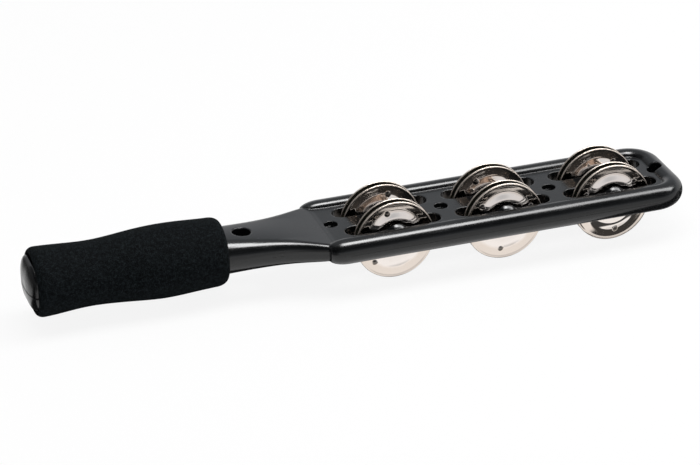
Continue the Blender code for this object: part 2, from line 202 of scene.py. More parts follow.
def surface_net(distance, xs, ys, zs):
    """Points and quads of the surface where distance is nought.

    Each grid cell that it crosses gets one point, the mean of the crossings on the cell's edges.
    Each grid edge that it crosses gets one quad, between the points of the four cells round that edge.
    """
    axes = (xs, ys, zs)
    grid = distance(xs[:, None, None], ys[None, :, None], zs[None, None, :])
    cells = tuple(len(a) - 1 for a in axes)
    sums = np.zeros((*cells, 4))
    corners = []
    for axis in range(3):
        first = grid[tuple(slice(None, -1) if a == axis else slice(None) for a in range(3))]
        second = grid[tuple(slice(1, None) if a == axis else slice(None) for a in range(3))]
        crossed = (first < 0) != (second < 0)
        index = np.stack(np.nonzero(crossed), 1)
        share = first[crossed] / (first[crossed] - second[crossed])
        point = np.stack([a[i] for a, i in zip(axes, index.T)], 1)
        point[:, axis] += share * np.diff(axes[axis])[index[:, axis]]
        u, v = (axis + 1) % 3, (axis + 2) % 3
        around = []
        for du, dv in ((1, 1), (0, 1), (0, 0), (1, 0)):
            cell = index.copy()
            cell[:, u] -= du
            cell[:, v] -= dv
            around.append(cell)
            real = np.all((cell >= 0) & (cell < cells), 1)
            weighed = np.concatenate([point, np.ones((len(point), 1))], 1)[real]
            np.add.at(sums, tuple(cell[real].T), weighed)
        around = np.stack(around, 1)
        around[first[crossed] >= 0] = around[first[crossed] >= 0][:, ::-1]
        real = np.all((around >= 0) & (around < cells), (1, 2))
        corners.append(around[real])
    used = sums[..., 3] > 0
    number = np.full(cells, -1)
    number[used] = np.arange(used.sum())
    quads = number[tuple(np.moveaxis(np.concatenate(corners), 2, 0))]
    return sums[used][:, :3] / sums[used][:, 3:], quads


def slope_of(distance, points, reach=0.004):
    """How fast distance grows along each axis: its change between a nudge forward and a nudge back."""
    nudges = np.eye(3) * reach
    changes = [distance(*(points + n).T) - distance(*(points - n).T) for n in nudges]
    return np.stack(changes, 1) / (2 * reach)


def settled(distance, points, rounds=6, most=0.3):
    """Points moved along the slope of distance on to its surface, in steps of at most a set length."""
    for _ in range(rounds):
        slope = slope_of(distance, points)
        steep = np.maximum((slope ** 2).sum(1, keepdims=True), 0.05)
        move = -distance(*points.T)[:, None] * slope / steep
        long = np.linalg.norm(move, axis=1, keepdims=True)
        points = points + move * np.minimum(1, most / np.maximum(long, 1e-9))
    return points


def mesh_piece(name, points, quads, material):
    """An object from an array of points in metres and an array of quads, smooth all over."""
    mesh = bpy.data.meshes.new(name)
    mesh.vertices.add(len(points))
    mesh.vertices.foreach_set("co", np.ascontiguousarray(points, np.float32).ravel())
    mesh.loops.add(quads.size)
    mesh.loops.foreach_set("vertex_index", np.ascontiguousarray(quads, np.int32).ravel())
    mesh.polygons.add(len(quads))
    mesh.polygons.foreach_set("loop_start", np.arange(0, quads.size, 4, dtype=np.int32))
    mesh.update(calc_edges=True)
    mesh.validate()
    mesh.polygons.foreach_set("use_smooth", np.ones(len(mesh.polygons), bool))
    mesh.materials.append(material)
    piece = bpy.data.objects.new(name, mesh)
    bpy.context.scene.collection.objects.link(piece)
    return piece


def finish_tree(name):
    """A new material with its node tree and its main shader."""
    material = bpy.data.materials.new(name)
    material.use_nodes = True
    return material, material.node_tree, material.node_tree.nodes["Principled BSDF"]


def add_node(tree, kind, inputs=None, **settings):
    """A node with its settings, whose inputs are values or the sockets that feed them."""
    made = tree.nodes.new(kind)
    for key, value in settings.items():
        setattr(made, key, value)
    for key, value in (inputs or {}).items():
        if isinstance(value, bpy.types.NodeSocket):
            tree.links.new(value, made.inputs[key])
        else:
            made.inputs[key].default_value = value
    return made


def shade_ramp(tree, source, *shades):
    """A colour ramp from (place, colour) pairs, fed by a socket."""
    ramp = add_node(tree, "ShaderNodeValToRGB", {0: source})
    points = ramp.color_ramp.elements
    while len(points) < len(shades):
        points.new(0.5)
    for point, (place, colour) in zip(points, shades):
        point.position = place
        point.color = (*colour, 1.0)
    return ramp.outputs["Color"]


def spread(tree, source, low, high, start=0.0, end=1.0):
    """A socket's values from start to end, laid out between low and high."""
    made = add_node(tree, "ShaderNodeMapRange", {
        "Value": source, "From Min": start, "From Max": end, "To Min": low, "To Max": high,
    })
    return made.outputs["Result"]


def noise(tree, place, scale, detail=3.0, rough=0.55):
    """The strength of a noise pattern at a place, about 0.5 on average."""
    made = add_node(tree, "ShaderNodeTexNoise", {
        "Vector": place, "Scale": scale, "Detail": detail, "Roughness": rough,
    })
    return made.outputs["Fac"]


def sum_of(tree, a, b):
    """Two sockets added."""
    return add_node(tree, "ShaderNodeMath", {0: a, 1: b}, operation="ADD").outputs[0]


def bumped(tree, height, distance, strength, under=None):
    """A normal raised by a height socket, over another normal if there is one."""
    inputs = {"Height": height, "Distance": distance, "Strength": strength}
    if under is not None:
        inputs["Normal"] = under
    return add_node(tree, "ShaderNodeBump", inputs).outputs["Normal"]


abs_finish, tree, shader = finish_tree("glossy_black_abs")
place = add_node(tree, "ShaderNodeTexCoord").outputs["Object"]
drawn = add_node(tree, "ShaderNodeMapping", {"Vector": place, "Scale": (0.06, 1.0, 1.0)}).outputs["Vector"]
flow = noise(tree, place, 38.0, 4.0)
rubs = noise(tree, drawn, 900.0, 2.0)
specks = noise(tree, place, 2600.0, 2.0)
scuffs = spread(tree, rubs, 0.0, 0.09, 0.56, 0.78)
tree.links.new(sum_of(tree, spread(tree, flow, 0.16, 0.23, 0.3, 0.7), scuffs), shader.inputs["Roughness"])
black = shade_ramp(tree, flow, (0.3, ABS_BLACKS[0]), (0.7, ABS_BLACKS[1]))
tree.links.new(black, shader.inputs["Base Color"])
moulded = bumped(tree, flow, 0.00025, 0.06)
moulded = bumped(tree, specks, 0.00004, 0.10, moulded)
tree.links.new(bumped(tree, rubs, 0.00002, 0.15, moulded), shader.inputs["Normal"])
shader.inputs["IOR"].default_value = ABS_IOR

# The grid lines lie close together where the surface has edges and fillets, and far apart elsewhere.
shell_xs = [(-201.2, -193.2, 0.6), (-193.2, -84.5, 7.0), (-84.5, -77.0, 1.2), (-77.0, -63.6, 0.7)]
shell_xs += [(-63.6, -40.0, 1.4), (-40.0, -11.6, 0.7)]
for pin in PIN_X:
    slot_end = pin + 45.8 if pin == PIN_X[-1] else pin + 38.5
    shell_xs += [(pin - 30.0, pin - 22.5, 0.6), (pin - 22.5, pin - 7.6, 2.4), (pin - 7.6, pin + 7.6, 0.8)]
    shell_xs += [(pin + 7.6, pin + 22.5, 2.4), (pin + 22.5, slot_end, 0.6)]
shell_xs = stops(*shell_xs)
half_ys = [(0.0, 5.8, 0.75), (5.8, 7.4, 0.27), (7.4, 17.8, 1.5), (17.8, 19.4, 0.27), (19.4, 35.4, 0.7)]
half_ys = stops(*half_ys)
shell_ys = np.concatenate([-half_ys[:0:-1], half_ys])
half_zs = [(-0.05, 0.07, 0.04), (0.07, 0.55, 0.24), (0.55, 1.35, 0.8), (1.35, 3.2, 0.25)]
half_zs += [(3.2, 4.2, 0.5), (4.2, 5.4, 0.24), (5.4, 8.2, 0.5), (8.2, 15.4, 0.8)]
half_zs = stops(*half_zs)
low_zs = stops((-2.6, -1.4, 0.15), (-1.4, -0.05, 0.7))
for node, side in (("upper_frame", 1), ("lower_frame", -1)):
    heights = np.unique(np.concatenate([low_zs, half_zs])) if side > 0 else -half_zs[::-1]
    points, quads = surface_net(partial(shell_distance, side=side), shell_xs, shell_ys, heights)
    points = settled(partial(shell_distance, side=side), points)
    normals = slope_of(partial(shell_distance, side=side, closed=True), points)
    normals /= np.linalg.norm(normals, axis=1, keepdims=True)
    points = (points + (0, 0, SEAM_HEIGHT)) * MM
    shell = mesh_piece(node.replace("frame", "shell"), points, quads, abs_finish)
    shell.data.normals_split_custom_set_from_vertices(normals)
    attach(shell, "frame")
    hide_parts(node)


# Cross pins. Drawn steel wire, cut to length with chamfered ends and laid in the grooves of the lower
# shell before the upper one closes over them. Each carries one pair of jingles.

PIN_RADIUS = 1.5
PIN_HALF = 9.95
PIN_CHAMFER = 0.4
PIN_FLAT = 0.6
PIN_STRAIGHT = 9.2
PIN_ROWS = 15
PIN_AROUND = 40
PIN_SHARP = math.radians(30)
WIRE_GREYS = ((0.36, 0.35, 0.33), (0.60, 0.59, 0.57))


def turned_about_y(profile, count):
    """A grid of points: (radius, height) pairs carried round the Y axis in count even steps."""
    turn = np.linspace(0, 2 * math.pi, count, endpoint=False)[None, :]
    radius, height = np.asarray(profile, float).T[:, :, None]
    return np.stack(np.broadcast_arrays(radius * np.sin(turn), height, radius * np.cos(turn)), 2)


def grid_quads(rows, columns, wrap_rows):
    """Quads between neighbours of a grid whose columns close on themselves, and its rows too if wrapped."""
    row = np.arange(rows if wrap_rows else rows - 1)[:, None]
    column = np.arange(columns)[None, :]
    down = (row + 1) % rows
    across = (column + 1) % columns
    quads = [row * columns + column, row * columns + across]
    quads += [down * columns + across, down * columns + column]
    return np.stack(np.broadcast_arrays(*quads), 2).reshape(-1, 4)


def close_poles(piece):
    """Merges the points of rings that have no radius, and turns all faces outwards."""
    bm = bmesh.new()
    bm.from_mesh(piece.data)
    bmesh.ops.remove_doubles(bm, verts=bm.verts, dist=1e-7)
    bmesh.ops.recalc_face_normals(bm, faces=bm.faces)
    bm.to_mesh(piece.data)
    bm.free()


wire_steel, tree, shader = finish_tree("drawn_steel_wire")
place = add_node(tree, "ShaderNodeTexCoord").outputs["Object"]
drawn = add_node(tree, "ShaderNodeMapping", {"Vector": place, "Scale": (1.0, 0.03, 1.0)}).outputs["Vector"]
lines = noise(tree, drawn, 4200.0)
film = noise(tree, place, 420.0)
grey = shade_ramp(tree, film, (0.3, WIRE_GREYS[0]), (0.7, WIRE_GREYS[1]))
tree.links.new(grey, shader.inputs["Base Color"])
tree.links.new(spread(tree, lines, 0.22, 0.42, 0.3, 0.7), shader.inputs["Roughness"])
tree.links.new(bumped(tree, lines, 0.00003, 0.3), shader.inputs["Normal"])
shader.inputs["Metallic"].default_value = 1.0

pin_end = [(0, PIN_HALF), (PIN_FLAT, PIN_HALF), (PIN_RADIUS - PIN_CHAMFER, PIN_HALF)]
pin_end += [(PIN_RADIUS, PIN_HALF - PIN_CHAMFER)]
pin_side = [(PIN_RADIUS, height) for height in np.linspace(PIN_STRAIGHT, -PIN_STRAIGHT, PIN_ROWS)]
far_end = [(radius, -height) for radius, height in reversed(pin_end)]
pin_grid = turned_about_y(pin_end + pin_side + far_end, PIN_AROUND)
pin_quads = grid_quads(*pin_grid.shape[:2], False)
for row, row_y in (("front", -ROW_Y), ("back", ROW_Y)):
    for station, pin_x in enumerate(PIN_X, start=1):
        points = pin_grid.reshape(-1, 3) + (pin_x, row_y, SEAM_HEIGHT)
        node = f"jingle_pin_{row}_{station}"
        pin = mesh_piece(f"pin_{row}_{station}", points * MM, pin_quads, wire_steel)
        close_poles(pin)
        pin.data.set_sharp_from_angle(angle=PIN_SHARP)
        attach(pin, node)
        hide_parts(node)


# Jingles. Thin steel sheet, pressed to a broad cup with a flaring brim and a rolled edge, pierced for
# the pin, struck with three small dimples at the foot of the cup, then nickel plated. The inner side is
# rougher, and its colour is darkened as a painted reflection of dark surroundings. They hang loosely in
# pairs on their pins, cups outward.

JINGLE_DROP = 4.0
JINGLE_AROUND = 256
HALF_SHEET = 0.32
HALF_EDGE = 0.52
EDGE_START = 22.2
CUP_SECTION = (
    (6.18, 0.66), (8.0, 0.89), (10.0, 1.15), (12.0, 1.41), (13.1, 1.55), (13.7, 1.59), (14.2, 1.49),
    (14.9, 1.24), (15.7, 0.94), (16.5, 0.64), (17.1, 0.42), (17.6, 0.25), (18.1, 0.14), (18.7, 0.10),
    (19.4, 0.15), (20.4, 0.28), (22.0, 0.51), (23.58, 0.735),
)
SECTION_ROWS = 58
EDGE_ROWS = 6
DIMPLE_COUNT = 3
DIMPLE_RING = 18.0
DIMPLE_RISE = 1.2
DIMPLE_RADIUS = 1.8
RIM_PLANES = {"front": (-14.95, -11.45), "back": (13.75, 10.25)}
DIMPLE_TURNS = {
    "front": ((104.7, 62.0), (141.5, 20.0), (157.2, 95.0)),
    "back": ((33.0, 75.0), (84.0, 118.0), (12.0, 51.0)),
}
BRIM_WARMTH = (0.0165, 0.0195)
NICKEL_TONES = ((0.89, 0.825, 0.78), (0.79, 0.70, 0.625))
# Colours of the painted reflection on the inner side, much darker than the plate.
INNER_PAINTED_DARK_TONES = ((0.27, 0.265, 0.235), (0.40, 0.39, 0.345))
# Colour of the painted reflection in the dimples, darker than the plate.
DIMPLE_PAINTED_DARK = (0.055, 0.050, 0.043, 1.0)


def smooth_section(knots, count):
    """A curve through (radius, height) knots with even speed: Catmull-Rom pieces, sampled by length."""
    knots = np.asarray(knots, float)
    ends = np.vstack([2 * knots[0] - knots[1], knots, 2 * knots[-1] - knots[-2]])
    t = np.linspace(0, 1, 24, endpoint=False)[None, :, None]
    p0, p1, p2, p3 = (ends[i:len(ends) - 3 + i, None, :] for i in range(4))
    curve = 2 * p1 + (p2 - p0) * t + (2 * p0 - 5 * p1 + 4 * p2 - p3) * t ** 2
    curve = 0.5 * (curve + (3 * p1 - p0 - 3 * p2 + p3) * t ** 3)
    curve = np.vstack([curve.reshape(-1, 2), knots[-1]])
    length = np.concatenate([[0], np.cumsum(np.hypot(*np.diff(curve, axis=0).T))])
    even = np.linspace(0, length[-1], count)
    return np.stack([np.interp(even, length, curve[:, i]) for i in (0, 1)], 1)


def pressed_sheet(section, half, count):
    """A closed outline: the section moved out by half a sheet, a round edge, the inner side, a round edge.

    Out is at right angles to the section's slope.
    """
    slope = np.gradient(section, axis=0)
    slope /= np.linalg.norm(slope, axis=1, keepdims=True)
    normal = np.stack([-slope[:, 1], slope[:, 0]], 1)
    turn = np.linspace(0, math.pi, count + 2)[1:-1, None]
    brim = section[-1] + half[-1] * (np.cos(turn) * normal[-1] + np.sin(turn) * slope[-1])
    bore = section[0] + half[0] * (-np.cos(turn) * normal[0] - np.sin(turn) * slope[0])
    sides = half[:, None] * normal
    return np.vstack([section + sides, brim, (section - sides)[::-1], bore])


nickel, tree, shader = finish_tree("warm_nickel_plate")
place = add_node(tree, "ShaderNodeTexCoord").outputs["Object"]
radius = add_node(tree, "ShaderNodeAttribute", attribute_name="turn_radius").outputs["Fac"]
turning = {"W": radius, "Scale": 2600.0, "Detail": 2.0}
rings = add_node(tree, "ShaderNodeTexNoise", turning, noise_dimensions="1D").outputs["Fac"]
breath = noise(tree, place, 110.0, 4.0)
fingers = noise(tree, place, 420.0, 3.0, 0.65)
warmth = spread(tree, radius, 0.0, 1.0, *BRIM_WARMTH)
warmth = sum_of(tree, warmth, spread(tree, breath, -0.35, 0.35, 0.3, 0.7))
plate = shade_ramp(tree, warmth, (0.1, NICKEL_TONES[0]), (0.9, NICKEL_TONES[1]))
inside = add_node(tree, "ShaderNodeAttribute", attribute_name="cup_inside").outputs["Fac"]
# Painted reflection: the inner side's colour is darkened to stand in for the dark parts that it mirrors.
inner_painted_dark = shade_ramp(tree, breath, (0.3, INNER_PAINTED_DARK_TONES[0]), (0.7, INNER_PAINTED_DARK_TONES[1]))
toned = add_node(tree, "ShaderNodeMixRGB", {0: inside, 1: plate, 2: inner_painted_dark}).outputs[0]
# Painted reflection: where the dimples are struck, the colour is darkened to stand in for the dark things
# that they mirror.
struck = add_node(tree, "ShaderNodeAttribute", attribute_name="struck").outputs["Fac"]
dimple_painted_dark = spread(tree, struck, 0.0, 0.85, 0.0, 0.6)
toned = add_node(tree, "ShaderNodeMixRGB", {0: dimple_painted_dark, 1: toned, 2: DIMPLE_PAINTED_DARK}).outputs[0]
tree.links.new(toned, shader.inputs["Base Color"])
gloss = spread(tree, fingers, 0.03, 0.10, 0.35, 0.75)
gloss = sum_of(tree, gloss, spread(tree, rings, 0.0, 0.03, 0.3, 0.8))
gloss = sum_of(tree, gloss, spread(tree, inside, 0.0, 0.16))
sheared = add_node(tree, "ShaderNodeAttribute", attribute_name="sheared").outputs["Fac"]
gloss = sum_of(tree, gloss, spread(tree, sheared, 0.0, 0.36))
tree.links.new(gloss, shader.inputs["Roughness"])
hammered = bumped(tree, noise(tree, place, 90.0, 0.0), 0.0004, 0.045)
tree.links.new(bumped(tree, rings, 0.00002, 0.10, hammered), shader.inputs["Normal"])
shader.inputs["Metallic"].default_value = 1.0

section = smooth_section(CUP_SECTION, SECTION_ROWS)
rolled = ease((section[:, 0] - EDGE_START) / (section[-1, 0] - EDGE_START))
sheet = pressed_sheet(section, HALF_SHEET + (HALF_EDGE - HALF_SHEET) * rolled, EDGE_ROWS)
sheet_grid = turned_about_y(sheet, JINGLE_AROUND)
sheet_quads = grid_quads(*sheet_grid.shape[:2], True)
half, step = np.divmod(np.arange(len(sheet)), SECTION_ROWS + EDGE_ROWS)
sheet_marks = {
    "turn_radius": np.hypot(sheet_grid[:, :, 0], sheet_grid[:, :, 2]).ravel() * MM,
    "cup_inside": np.repeat(half == 1, JINGLE_AROUND).astype(np.float32),
    "sheared": np.repeat(step >= SECTION_ROWS, JINGLE_AROUND).astype(np.float32),
}
for row, planes in RIM_PLANES.items():
    for station, pin_x in enumerate(PIN_X, start=1):
        for name, plane, turn in zip(("outer", "inner"), planes, DIMPLE_TURNS[row][station - 1]):
            outward = 1 if (row == "back") == (name == "outer") else -1
            points = sheet_grid.reshape(-1, 3).copy()
            dents = np.zeros(len(points))
            for dimple in range(DIMPLE_COUNT):
                angle = math.radians(turn + 360 / DIMPLE_COUNT * dimple)
                off_x = points[:, 0] - DIMPLE_RING * math.cos(angle)
                off_z = points[:, 2] - DIMPLE_RING * math.sin(angle)
                dents += np.maximum(1 - (np.hypot(off_x, off_z) / DIMPLE_RADIUS) ** 2, 0)
            points[:, 1] += DIMPLE_RISE * dents
            points[:, 1] *= outward
            points += (pin_x, plane, SEAM_HEIGHT - JINGLE_DROP)
            quads = sheet_quads[:, ::-outward]
            jingle = mesh_piece(f"cup_{row}_{station}_{name}", points * MM, quads, nickel)
            for mark, values in (*sheet_marks.items(), ("struck", dents)):
                jingle.data.attributes.new(mark, "FLOAT", "POINT").data.foreach_set("value", values)
            node = f"jingle_{row}_{station}_{name}"
            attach(jingle, node)
            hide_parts(node)


# Frame screws. Blackened steel pan heads with a cross recess, driven from the underside into the spine,
# where they pull the two shells together. Each sits on the floor of a round recess.

SCREW_HEAD_RADIUS = 3.2
SCREW_SHANK_RADIUS = 1.5
SCREW_TOP = 1.5
SCREW_SEAT = -2.9
SCREW_FACE = -4.6
SCREW_FACE_RADIUS = 3.05
SCREW_FACE_ROWS = 27
SCREW_CROWN = 0.85
SCREW_CROWN_POWER = 4
SCREW_EDGE = 0.1
SCREW_AROUND = 96
SCREW_SHARP = math.radians(40)
SHANK_CHAMFER = 0.3
CROSS_DEPTH = 0.9
CROSS_HALF = 0.42
CROSS_REACH = 1.75
CROSS_SLOPES = (0.16, 0.5)
SCREW_BLACKS = ((0.045, 0.045, 0.048), (0.16, 0.155, 0.15))

black_steel, tree, shader = finish_tree("blackened_steel")
place = add_node(tree, "ShaderNodeTexCoord").outputs["Object"]
worn = noise(tree, place, 900.0, 4.0)
black = shade_ramp(tree, worn, (0.4, SCREW_BLACKS[0]), (0.72, SCREW_BLACKS[1]))
tree.links.new(black, shader.inputs["Base Color"])
tree.links.new(spread(tree, worn, 0.30, 0.50, 0.3, 0.7), shader.inputs["Roughness"])
tree.links.new(bumped(tree, noise(tree, place, 3800.0), 0.00003, 0.25), shader.inputs["Normal"])
shader.inputs["Metallic"].default_value = 1.0

face_radii = np.linspace(0, SCREW_FACE_RADIUS, SCREW_FACE_ROWS)
face_heights = SCREW_FACE + SCREW_CROWN * (face_radii / SCREW_HEAD_RADIUS) ** SCREW_CROWN_POWER
face = list(zip(face_radii, face_heights))
edge = [(SCREW_HEAD_RADIUS, SCREW_FACE + SCREW_CROWN + 2 * SCREW_EDGE)]
edge += [(SCREW_HEAD_RADIUS, SCREW_SEAT - SCREW_EDGE), (SCREW_HEAD_RADIUS - SCREW_EDGE, SCREW_SEAT)]
shank = [(SCREW_SHANK_RADIUS, SCREW_SEAT), (SCREW_SHANK_RADIUS, SCREW_TOP - SHANK_CHAMFER)]
shank += [(SCREW_SHANK_RADIUS - SHANK_CHAMFER, SCREW_TOP), (0, SCREW_TOP)]
screw_grid = turned_about_y(face + edge + shank, SCREW_AROUND)[:, :, [0, 2, 1]]
screw_quads = grid_quads(*screw_grid.shape[:2], False)
arms = np.minimum(np.abs(screw_grid[..., 0]), np.abs(screw_grid[..., 1]))
reach = np.maximum(np.abs(screw_grid[..., 0]), np.abs(screw_grid[..., 1]))
cross = ease((CROSS_HALF - arms) / CROSS_SLOPES[0] + 0.5)
cross = cross * ease((CROSS_REACH - reach) / CROSS_SLOPES[1] + 0.5)
screw_grid[:len(face), :, 2] += CROSS_DEPTH * cross[:len(face)]
for number, screw_x in enumerate(SCREW_X, start=1):
    points = screw_grid.reshape(-1, 3) + (screw_x, 0, SEAM_HEIGHT)
    node = f"frame_screw_{number}"
    screw = mesh_piece(f"spine_screw_{number}", points * MM, screw_quads, black_steel)
    close_poles(screw)
    screw.data.set_sharp_from_angle(angle=SCREW_SHARP)
    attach(screw, "frame")
    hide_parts(node)


# Foam grip. One sleeve of closed-cell rubber foam, ground to a flare, a waist and a swell, and pulled
# over the handle core. Its skin is matt and finely pored, and its ends are rounded over.

GRIP_START = -194.0
GRIP_LENGTH = 111.5
GRIP_KNOTS = ((0.0, 20.5), (32.0, 18.9), (75.5, 21.6), (111.5, 20.2))
GRIP_END_RADIUS = 16.7
FLARE_ROUND = 3.0
GRIP_LIP = 1.4
LIP_RADIUS = 17.7
COLLAR_ROUND = 6.0
BORE_SIZES = (15.8, 11.3, 10.5)
BORE_ROWS = 24
GRIP_AROUND = 256
END_ROWS = 15
MIDDLE_ROWS = 190
UNEVEN_RISE = 0.10
UNEVEN_FADE = 12.0
FOAM_BLACKS = ((0.0008, 0.0014, 0.0017), (0.0030, 0.0045, 0.0053), (0.013, 0.017, 0.019))
FOAM_SHINE = 0.06


def grip_radius(along):
    """Radius of the sleeve: smooth steps between its knots."""
    radius = np.full_like(along, GRIP_KNOTS[0][1])
    for (start, first), (end, second) in zip(GRIP_KNOTS, GRIP_KNOTS[1:]):
        radius += (second - first) * ease((along - start) / (end - start))
    return radius


def grip_outline():
    """(along, radius) of the skin: a lip, a quarter ellipse, the shaped length, another quarter ellipse."""
    turn = np.linspace(0, math.pi / 2, END_ROWS)
    flare = FLARE_ROUND - (FLARE_ROUND + GRIP_LIP) * np.cos(turn)
    collar = GRIP_LENGTH - COLLAR_ROUND * (1 - np.sin(turn))
    middle = np.linspace(FLARE_ROUND, collar[0], MIDDLE_ROWS)[1:-1]
    along = np.concatenate([[0.0], flare, middle, collar])
    radius = grip_radius(along)
    radius[0] = LIP_RADIUS
    radius[1:END_ROWS + 1] -= (GRIP_KNOTS[0][1] - LIP_RADIUS) * (1 - np.sin(turn))
    radius[-END_ROWS:] -= (GRIP_KNOTS[-1][1] - GRIP_END_RADIUS) * (1 - np.cos(turn))
    return along, radius


foam, tree, shader = finish_tree("black_cell_foam")
place = add_node(tree, "ShaderNodeTexCoord").outputs["Object"]
cells = add_node(tree, "ShaderNodeTexVoronoi", {"Vector": place, "Scale": 1300.0}).outputs["Distance"]
pores = noise(tree, place, 2300.0, 4.0, 0.7)
patches = noise(tree, place, 520.0, 3.0, 0.6)
mottle = sum_of(tree, spread(tree, pores, -0.4, 0.5, 0.3, 0.7), patches)
black = shade_ramp(tree, mottle, *zip((0.3, 0.55, 0.85), FOAM_BLACKS))
tree.links.new(black, shader.inputs["Base Color"])
tree.links.new(spread(tree, patches, 0.86, 0.98, 0.3, 0.7), shader.inputs["Roughness"])
skin = bumped(tree, cells, 0.00025, 0.35)
skin = bumped(tree, pores, 0.00018, 0.35, skin)
tree.links.new(bumped(tree, patches, 0.0006, 0.12, skin), shader.inputs["Normal"])
shader.inputs["Specular IOR Level"].default_value = FOAM_SHINE

along, radius = grip_outline()
turn = np.linspace(0, 2 * math.pi, GRIP_AROUND, endpoint=False)[None, :]
uneven = np.sin(3 * turn + 0.07 * along[:, None]) * np.sin(0.11 * along[:, None] + 2 * turn)
faded = ease(along / UNEVEN_FADE) * ease((GRIP_LENGTH - along) / UNEVEN_FADE)
skin = radius[:, None] + UNEVEN_RISE * uneven * faded[:, None]
outer = np.stack(np.broadcast_arrays(along[:, None], skin * np.cos(turn), skin * np.sin(turn)), 2)
reach = np.linspace(0.2, 30, 3000)[:, None]
inside = rounded_box(reach * np.cos(turn), reach * np.sin(turn), *BORE_SIZES) < 0
bore = reach[inside.sum(0) - 1, 0]
bore_along = np.linspace(GRIP_LENGTH, 0, BORE_ROWS)[:, None]
inner = np.stack(np.broadcast_arrays(bore_along, bore * np.cos(turn), bore * np.sin(turn)), 2)
sleeve = np.concatenate([outer, inner])
points = (sleeve.reshape(-1, 3) + (GRIP_START, 0, SEAM_HEIGHT)) * MM
grip = mesh_piece("foam_sleeve", points, grid_quads(*sleeve.shape[:2], True), foam)
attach(grip, "frame")
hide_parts("foam_grip")


# Studio. A white floor that runs out to a white horizon, a long softbox overhead, and two strips that show
# in gloss alone. Mirrors see painted shadows on the floor, which stand in for the stick's own shadow: a
# dark strip under the stick, a dark wedge beside its tip and a dark patch at the pommel's end. They also
# see grey walls that are darker higher up and at the left.

FLOOR_HALF = 9.0
FLOOR_WHITE = (0.95, 0.95, 0.95, 1.0)
WHITE_SHARE = 0.88
# Painted shadow on the floor, seen in mirrors alone: darkest in a strip under the stick, white beyond it.
MIRRORED_SHADES_REACH = 0.5
MIRRORED_FLOOR_SHADES = ((0.032, 0.03), (0.039, 1.0), (0.15, 0.95), (0.30, 0.78), (0.8, 0.66))
# Painted shadow on the floor behind the pommel's end, seen in mirrors alone.
POMMEL_SHADOW_SPAN = (-0.285, -0.220)
POMMEL_SHADOW_LEVEL = 0.16
# Painted shadow on the floor: a dark wedge beside the tip, seen in mirrors alone.
WEDGE_LENGTH = (0.130, 0.205)
WEDGE_REACH = (0.0200, 0.0780)
WEDGE_EDGE = (0.0200, 0.0208)
WEDGE_SOFT = 0.003
WEDGE_SHADE = 0.05
FRONT_WALL = (
    (0.0, (0.72, 0.72, 0.72)), (0.10, (0.76, 0.76, 0.77)), (0.19, (0.72, 0.73, 0.75)),
    (0.26, (0.42, 0.44, 0.46)), (0.34, (0.20, 0.21, 0.225)), (0.48, (0.09, 0.095, 0.10)),
    (0.70, (0.03, 0.03, 0.033)),
)
BACK_WALL = (
    (0.0, (0.72, 0.72, 0.72)), (0.10, (0.80, 0.80, 0.81)), (0.31, (0.80, 0.81, 0.83)),
    (0.38, (0.60, 0.62, 0.66)), (0.445, (0.44, 0.465, 0.49)), (0.52, (0.40, 0.42, 0.44)),
    (0.70, (0.46, 0.48, 0.50)), (0.95, (0.50, 0.52, 0.54)),
)
WALLS_MEET = (-0.05, 0.15)
LEFT_WALL = (-0.5, -0.2)
LEFT_WALL_SHADE = 0.25
AMBIENT_COLOUR = (0.98, 0.98, 1.0, 1.0)
AMBIENT_LEVEL = 0.4
SOFTBOX_AIM = Vector((0.0, 0.0, 0.03))


def seen_rays(tree):
    """1 for rays from the camera, from mirrors and through glass, and 0 for rays of diffuse light."""
    rays = add_node(tree, "ShaderNodeLightPath").outputs
    seen = {0: rays["Is Camera Ray"], 1: rays["Is Glossy Ray"]}
    seen = add_node(tree, "ShaderNodeMath", seen, operation="MAXIMUM").outputs[0]
    both = {0: seen, 1: rays["Is Transmission Ray"]}
    return add_node(tree, "ShaderNodeMath", both, operation="MAXIMUM").outputs[0]


paper = bpy.data.materials.new("white_floor")
paper.use_nodes = True
tree = paper.node_tree
tree.nodes.clear()
paint = add_node(tree, "ShaderNodeBsdfDiffuse", {"Color": FLOOR_WHITE}).outputs[0]
glow = add_node(tree, "ShaderNodeEmission", {"Color": (1.0, 1.0, 1.0, 1.0), "Strength": 1.0}).outputs[0]
place = add_node(tree, "ShaderNodeTexCoord").outputs["Object"]
off = add_node(tree, "ShaderNodeSeparateXYZ", {0: place}).outputs["Y"]
off = add_node(tree, "ShaderNodeMath", {0: off}, operation="ABSOLUTE").outputs[0]
# Painted shadows on the floor for mirrors: a strip under the stick, a wedge by the tip, a patch at the
# pommel.
away = spread(tree, off, 0.0, 1.0, 0.0, MIRRORED_SHADES_REACH)
mirrored_floor_shade = shade_ramp(tree, away, *((spot, (grey, grey, grey)) for spot, grey in MIRRORED_FLOOR_SHADES))
along = add_node(tree, "ShaderNodeSeparateXYZ", {0: place}).outputs["X"]
reach = spread(tree, along, *WEDGE_REACH, *WEDGE_LENGTH)
inward = add_node(tree, "ShaderNodeMath", {0: reach, 1: off}, operation="SUBTRACT").outputs[0]
wedge = {0: spread(tree, off, 0.0, 1.0, *WEDGE_EDGE), 1: spread(tree, inward, 0.0, 1.0, 0.0, WEDGE_SOFT)}
wedge = add_node(tree, "ShaderNodeMath", wedge, operation="MULTIPLY").outputs[0]
lit = {0: spread(tree, along, POMMEL_SHADOW_LEVEL, 1.0, *POMMEL_SHADOW_SPAN), 1: spread(tree, wedge, 1.0, WEDGE_SHADE)}
lit = add_node(tree, "ShaderNodeMath", lit, operation="MULTIPLY").outputs[0]
painted_floor_shadows = add_node(tree, "ShaderNodeEmission", {"Color": mirrored_floor_shade, "Strength": lit}).outputs[0]
rays = add_node(tree, "ShaderNodeLightPath").outputs
share = {0: rays["Is Camera Ray"], 1: WHITE_SHARE}
